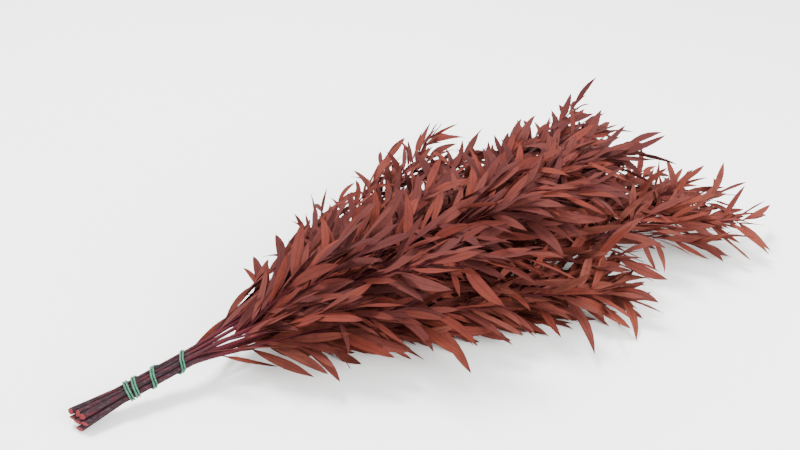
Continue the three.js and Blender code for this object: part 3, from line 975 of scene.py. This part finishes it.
def shoot_guide(shoot):
    points = curve_points(shoot["handles"], SHOOT_GUIDE_STEPS)
    shares = np.linspace(0, 1, len(points))
    thick = mix(SHOOT_BASE_RADIUS, SHOOT_END_RADIUS, shares) / 1000
    reach = reach_along(points) + YOUNG_REACH
    return {"points": points, "thick": thick, "reach": reach, **straight_cut(len(points))}


print("the longest stem is", round(max(stem_guide(s)["reach"][-1] for s in stems)), "mm long")

# %% [markdown]
# ## Finishes
#
# The dye is a matt rust red. It has taken unevenly, so leaves differ a little from each other and
# within each blade, the midrib is a fine darker line, and the stalks are crimson. Branches differ
# too, and there the deeper tone of the back and top branches is painted shade. The patterns follow
# the blade, because they read the map that the tree left on it: along, across and tone.

# %% A short way to write a material
def start_material(name, rough, gloss):
    material = bpy.data.materials.new(name)
    material.use_nodes = True
    tree = material.node_tree
    shader = tree.nodes["Principled BSDF"]
    shader.inputs["Roughness"].default_value = rough
    shader.inputs["Specular IOR Level"].default_value = gloss
    return material, tree, shader


def own_place(tree):
    return add(tree, "ShaderNodeTexCoord").outputs["Object"]


def map_parts(tree, name):
    """The three parts of the map that a Geometry Nodes tree left on its shapes."""
    read = add(tree, "ShaderNodeAttribute", attribute_name=name).outputs["Vector"]
    return add(tree, "ShaderNodeSeparateXYZ", {"Vector": read}).outputs


def blend(tree, amount, a, b):
    """Colour a turning into colour b by an amount from 0 to 1."""
    mixed = add(tree, "ShaderNodeMix", data_type="RGBA")
    for key, value in (("Factor", amount), ("A", a), ("B", b)):
        socket = next(s for s in mixed.inputs if s.name == key and s.enabled)
        if isinstance(value, bpy.types.NodeSocket):
            tree.links.new(value, socket)
        else:
            socket.default_value = value
    return next(s for s in mixed.outputs if s.enabled)


def ramp_between(tree, value, low, high, most=1.0):
    """0 below low, most above high, and smooth between them."""
    given = {"Value": value, "From Min": low, "From Max": high, "To Max": most}
    return add(tree, "ShaderNodeMapRange", given, interpolation_type="SMOOTHSTEP").outputs[0]


def from_srgb(r, g, b):
    """A colour given as screen values from 0 to 255, as the shader wants it."""
    line = [c / 255 / 12.92 if c <= 10 else ((c / 255 + 0.055) / 1.055) ** 2.4 for c in (r, g, b)]
    return (*line, 1)


def finish_material(tree, shader, colour, relief, strength, depth):
    bump = add(tree, "ShaderNodeBump", {"Height": relief, "Strength": strength, "Distance": depth})
    tree.links.new(bump.outputs[0], shader.inputs["Normal"])
    tree.links.new(colour, shader.inputs["Base Color"])


print("a mid grey of 128 on the screen is", round(from_srgb(128, 128, 128)[0], 3), "to the shader")

# %% The dyed leaf: what its colour follows
TONE_MULTIPLE = 13.7  # the fraction of this multiple of the tone is one more random value of a leaf

leaf_dye, tree, shader = start_material("dyed_leaf", rough=0.75, gloss=0.06)
parts = map_parts(tree, "leaf_map")
along, side, tone = parts["X"], calc(tree, "ABSOLUTE", parts["Y"]), parts["Z"]
place = own_place(tree)
mottle = noise(tree, place, scale=90.0, detail=3.0)
grain = noise(tree, place, scale=900.0, detail=2.0)
by_leaf = calc(tree, "FRACT", calc(tree, "MULTIPLY", tone, TONE_MULTIPLE))
midrib = calc(tree, "SUBTRACT", 1.0, ramp_between(tree, side, 0.02, 0.16))
stalk = calc(tree, "SUBTRACT", 1.0, ramp_between(tree, along, 0.06, 0.22))
print("leaf patterns:", len(tree.nodes), "nodes")

# %% The dyed leaf: its colour, layer by layer
deep, light = (60, 28, 27), (85, 41, 35)
layers = {
    "lightest leaves": (ramp_between(tree, tone, 0.7, 1.0), (94, 49, 40)),
    "warm leaves": (ramp_between(tree, by_leaf, 0.4, 1.0, 0.5), (98, 39, 26)),
    "uneven dye": (ramp_between(tree, mottle, 0.45, 0.75, 0.45), (58, 26, 26)),
    "grain": (ramp_between(tree, grain, 0.5, 0.75, 0.18), (106, 54, 42)),
    "rim": (ramp_between(tree, side, 0.75, 1.0, 0.35), (46, 19, 18)),
    "midrib": (calc(tree, "MULTIPLY", midrib, 0.4), (42, 17, 18)),
    "stalk": (calc(tree, "MULTIPLY", stalk, 0.8), (62, 17, 22)),
    "tip": (ramp_between(tree, along, 0.86, 1.0, 0.45), (42, 18, 18)),
}
# the tone brings in the painted shade of the back and top branches as well as the uneven dye
colour = blend(tree, ramp_between(tree, tone, 0.0, 0.75), from_srgb(*deep), from_srgb(*light))
for amount, tint in layers.values():
    colour = blend(tree, amount, colour, from_srgb(*tint))
print(len(layers), "layers of colour")

# %% The dyed leaf: its veins and midrib
VEINS_ALONG, VEINS_SLANT = 210.0, -9.0
VEIN_RELIEF, MIDRIB_RELIEF = 0.12, -0.8

veins = calc(tree, "MULTIPLY_ADD", along, VEINS_ALONG, calc(tree, "MULTIPLY", side, VEINS_SLANT))
relief = calc(tree, "MULTIPLY_ADD", midrib, MIDRIB_RELIEF, grain)
relief = calc(tree, "MULTIPLY_ADD", calc(tree, "SINE", veins), VEIN_RELIEF, relief)
finish_material(tree, shader, colour, relief, strength=0.35, depth=0.0003)
print("leaf finish:", len(tree.nodes), "nodes")

# %% [markdown]
# The bark is dark purple-brown at the cut end, with maroon patches where the dye shows and pale
# grey flecks. Higher up, the young wood of the shoots is dark maroon.

# %% The bark
YOUNG_BETWEEN = (70.0, 130.0)
BARK_STRETCH = (0.25, 1, 1)

bark, tree, shader = start_material("bark", rough=0.7, gloss=0.06)
reach = map_parts(tree, "stem_map")["X"]
stretch = {"Vector": own_place(tree), "Scale": BARK_STRETCH}
stretched = add(tree, "ShaderNodeMapping", stretch).outputs[0]
patches = noise(tree, stretched, scale=260.0, detail=3.0)
streaks = noise(tree, stretched, scale=1400.0, detail=2.0)
young = ramp_between(tree, reach, *YOUNG_BETWEEN)
dyed = ramp_between(tree, patches, 0.45, 0.66)
colour = blend(tree, dyed, from_srgb(34, 23, 27), from_srgb(58, 22, 28))
colour = blend(tree, young, colour, from_srgb(66, 22, 28))
flecks = ramp_between(tree, streaks, 0.52, 0.72, 0.5)
flecks = calc(tree, "MULTIPLY", flecks, calc(tree, "SUBTRACT", 1.0, young))
colour = blend(tree, flecks, colour, from_srgb(78, 64, 70))
finish_material(tree, shader, colour, streaks, strength=0.5, depth=0.0004)
print("bark finish:", len(tree.nodes), "nodes")

# %% [markdown]
# ## The branches
#
# Every branch gets two pieces: its leaves, and its stem with the shoots. Both stand for the
# branch's solid. The solid's stems are straight between few points, and the dressed ones bend
# smoothly, so each leaf moves with the smooth line that it sits on.

# %% Seats of the leaves on their shoots
SMOOTH_STEPS = 48

for shoot in shoots:
    shoot["smooth"] = curve_points(shoot["handles"], SMOOTH_STEPS)
for leaf in leaves:
    leaf["seat"] = along_route(leaf["shoot"]["smooth"], leaf["at"])[0] - leaf["base"]
print("largest step to the smooth shoot, mm:", round(max(np.linalg.norm(l["seat"]) for l in leaves), 2))

# %% Leaves and stems of every branch
LEFT_BY_BLADES = ("middle", "side", "face", "half_width", "half_thick", "fold", "leaf_along")
LEFT_BY_BLADES += ("across", "up", "leaf_tone", "floor")
LEFT_BY_STEMS = ("thick", "round", "reach", "middle", "out", "slant")
pieces = []
for b, stem in enumerate(stems):
    node_name = f"branch_{b + 1}"
    chains = [blade_guide(leaf, i) for i, leaf in enumerate(leaves) if leaf["branch"] == b]
    guides = guide_lines("blade guides", chains)
    blades = grow_mesh(f"leaves_{b + 1}", blade_tree, guides, leaf_dye, drop=LEFT_BY_BLADES)
    chains = [stem_guide(stem)]
    chains += [shoot_guide(s) for s in shoots if s["branch"] == b and not s["is_stem"]]
    guides = guide_lines("stem guides", chains)
    rods = grow_mesh(f"stem_{b + 1}", stem_tree, guides, bark, drop=LEFT_BY_STEMS)
    for piece, slot in ((blades, "foliage"), (rods, "bark")):
        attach(piece, "root")
        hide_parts(node_name)
        pieces.append(piece)
    print(node_name, len(blades.data.polygons), "leaf faces,", len(rods.data.polygons), "stem faces")
print(len(pieces), "pieces on the branches")

# %% [markdown]
# ## The cut ends
#
# The stems were snipped at a slant, and the raw wood shows reddish from the dye. Each end gets a
# thin disc of wood that stands a hair out of the bark.

# %% Cut wood
DISC_SHARE = 0.9
DISC_DEPTH = 1.2
DISC_PROUD = 0.12

cut_wood, tree, shader = start_material("cut_wood", rough=0.85, gloss=0.1)
fibres = noise(tree, own_place(tree), scale=1500.0, detail=3.0)
pale = ramp_between(tree, fibres, 0.35, 0.65)
colour = blend(tree, pale, from_srgb(92, 30, 34), from_srgb(124, 50, 52))
finish_material(tree, shader, colour, fibres, strength=0.6, depth=0.0004)

discs = []
for stem in stems:
    out, slant = slanted(stem)
    end = stem["cut_end"] - out * (CUT_SLOPE * CUT_RADIUS)
    disc = {"points": np.array((end - out * DISC_DEPTH, end + out * DISC_PROUD))}
    disc["thick"] = [CUT_BARK_RADIUS * DISC_SHARE / 1000] * 2
    disc.update(reach=(0.0, 1.0), out=[out] * 2, slant=[slant] * 2)
    discs.append(disc)
sizes = {"Sides": 14.0, "Bark relief": 0.0}
cut_ends = grow_mesh("cut_ends", stem_tree, guide_lines("cut ends", discs), cut_wood, sizes, LEFT_BY_STEMS)
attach(cut_ends, "root")
print("cut ends:", len(cut_ends.data.polygons), "faces")

# %% [markdown]
# ## The elastic band
#
# One loop of thin round elastic was pulled out double and wound on as an opening spiral. It presses
# on whichever stem stands out furthest, so its way is worked out from the stems: at each angle it
# lies just outside the outermost one.

# %% Round the outermost stems
STRAND_RADIUS = 0.7
BAND_GAP = 0.35
BAND_FRONT = math.radians(145)
DEGREES_ROUND = 360


def band_point(angle, x):
    seats = [(seat[0] * STEM_PITCH, seat[1] * ROW_PITCH) for seat, *_ in BRANCHES]
    outer = max(seats, key=lambda seat: seat[0] * math.cos(angle) + seat[1] * math.sin(angle))
    out = ACROSS * math.cos(angle) + THROUGH * math.sin(angle)
    return bundle_point(x, *outer) + out * (STEM_RADIUS + BAND_GAP + STRAND_RADIUS)


def lengths_round():
    """The share of a whole way round that is covered at each degree."""
    angles = BAND_FRONT - np.linspace(0, 2 * math.pi, DEGREES_ROUND + 1)
    reach = reach_along(np.array([band_point(angle, 0) for angle in angles]))
    return reach / reach[-1]


COVERED = lengths_round()
print("a quarter turn covers", round(COVERED[DEGREES_ROUND // 4], 3), "of the way round")

# %% The band's way along the stems
BAND_TURNS = (-0.3, 3.18)
BAND_START_X = -18.5
BAND_PITCH = 0.7
BAND_OPENING = 4.3
BAND_LAG = 0.65
BAND_END = 0.035  # the share of a turn that the bends at the two ends go further
STRAND_SPACING = 1.9
BAND_SAMPLES = 48


def on_strand(turn, strand):
    whole = math.floor(turn)
    part = np.interp((turn - whole) * DEGREES_ROUND, range(DEGREES_ROUND + 1), COVERED)
    covered = whole + part - BAND_LAG * math.sin(2 * math.pi * part) / (2 * math.pi)
    x = BAND_START_X + BAND_PITCH * covered + BAND_OPENING * covered * abs(covered)
    return band_point(BAND_FRONT - 2 * math.pi * turn, x + strand * STRAND_SPACING / 2)


turns = np.linspace(*BAND_TURNS, round((BAND_TURNS[1] - BAND_TURNS[0]) * BAND_SAMPLES) + 1)
way = [on_strand(t, -1) for t in turns] + [on_strand(BAND_TURNS[1] + BAND_END, 0)]
way += [on_strand(t, 1) for t in turns[::-1]] + [on_strand(BAND_TURNS[0] - BAND_END, 0)]
way = np.array(way)
print("the band's loop is", round(np.linalg.norm(np.diff(way, axis=0), axis=1).sum()), "mm long")

# %% The elastic
elastic, tree, shader = start_material("elastic", rough=0.5, gloss=0.3)
cloudy = noise(tree, own_place(tree), scale=500.0, detail=2.0)
pale = ramp_between(tree, cloudy, 0.35, 0.65)
colour = blend(tree, pale, from_srgb(25, 74, 54), from_srgb(45, 98, 76))
finish_material(tree, shader, colour, cloudy, strength=0.2, depth=0.0003)

strand = {"points": way, "thick": np.full(len(way), STRAND_RADIUS / 1000), "reach": reach_along(way)}
strand.update(straight_cut(len(way)))
band_guides = guide_lines("band guides", [strand], closed=True)
sizes = {"Sides": 10.0, "Bark relief": 0.0}
band = grow_mesh("band", stem_tree, band_guides, elastic, sizes, LEFT_BY_STEMS)
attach(band, "root")
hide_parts("elastic_band")
print("band:", len(band.data.polygons), "faces")

# %% [markdown]
# ## The table, the light and the camera
#
# The photograph was taken on a white sweep in soft light. The key light stands behind the bunch on
# the left, so the shadow of the stems falls to the front. A broad fill light from the front right
# opens the shadows between the leaves. The camera looks down at 35 degrees, across the bunch.

# %% The table and backdrop
SWEEP_HALF = 8
SWEEP_HEIGHT = -0.0006  # just under the lowest leaf
SWEEP_COLOUR = (0.81, 0.815, 0.81, 1)

white, _, shader = start_material("white_sweep", rough=0.7, gloss=0.2)
shader.inputs["Base Color"].default_value = SWEEP_COLOUR
signs = ((-1, -1), (1, -1), (1, 1), (-1, 1))
corners = [(x * SWEEP_HALF, y * SWEEP_HALF, SWEEP_HEIGHT) for x, y in signs]
mesh = bpy.data.meshes.new("sweep")
mesh.from_pydata(corners, [], [(0, 1, 2, 3)])
mesh.materials.append(white)
sweep = new_object("sweep", mesh)
sweep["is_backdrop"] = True
print("table at", mesh.vertices[0].co.z * 1000, "mm")

# %% The light
KEY = {"place": (-0.35, 0.55, 1.7), "size": 0.5, "watts": 80.0, "colour": (1, 1, 1)}
FILL = {"place": (1.0, -1.6, 1.0), "size": 1.4, "watts": 120.0, "colour": (1, 0.99, 0.98)}
STUDIO_COLOUR = (0.95, 0.945, 0.94, 1)
STUDIO_STRENGTH = 2.5


def soft_light(name, place, size, watts, colour):
    """A square lamp that is turned towards the part's origin."""
    lamp = bpy.data.lights.new(name, "AREA")
    lamp.size, lamp.energy, lamp.color = size, watts, colour
    made = new_object(name, lamp)
    made.location = place
    made.rotation_euler = (-Vector(place)).to_track_quat("-Z", "Y").to_euler()


soft_light("key", **KEY)
soft_light("fill", **FILL)
world = bpy.data.worlds.new("studio")
world.use_nodes = True
background = world.node_tree.nodes["Background"].inputs
background["Color"].default_value = STUDIO_COLOUR
background["Strength"].default_value = STUDIO_STRENGTH
bpy.context.scene.world = world
print("lights: key, fill and the room")

# %% The camera
CAMERA_PLACE = (-18.1, -482.9, 470.3)
AZIMUTH, ELEVATION = math.radians(-24), math.radians(35)
FIELD_OF_VIEW = math.radians(50)
NEAREST_SEEN = 0.02

level = math.cos(ELEVATION)
look = Vector((-math.sin(AZIMUTH) * level, math.cos(AZIMUTH) * level, -math.sin(ELEVATION)))
camera = new_object("camera", bpy.data.cameras.new("camera"))
camera.data.angle = FIELD_OF_VIEW
camera.data.clip_start = NEAREST_SEEN
camera.location = metres(CAMERA_PLACE)
camera.rotation_euler = look.to_track_quat("-Z", "Y").to_euler()
bpy.context.scene.camera = camera
print("camera at", [round(v, 3) for v in camera.location])

# %% [markdown]
# ## Sizes
#
# Both boxes are kept side by side, the solids' and the dressed bunch's, and the dressed one is printed.
# The dressed bunch has to stay as large as the solids.

# %% The two boxes
visual_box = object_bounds()
sizes = {"cad": [list(corner) for corner in cad_box], "visual": [list(corner) for corner in visual_box]}
print("visual box:", [[round(v, 4) for v in corner] for corner in visual_box])
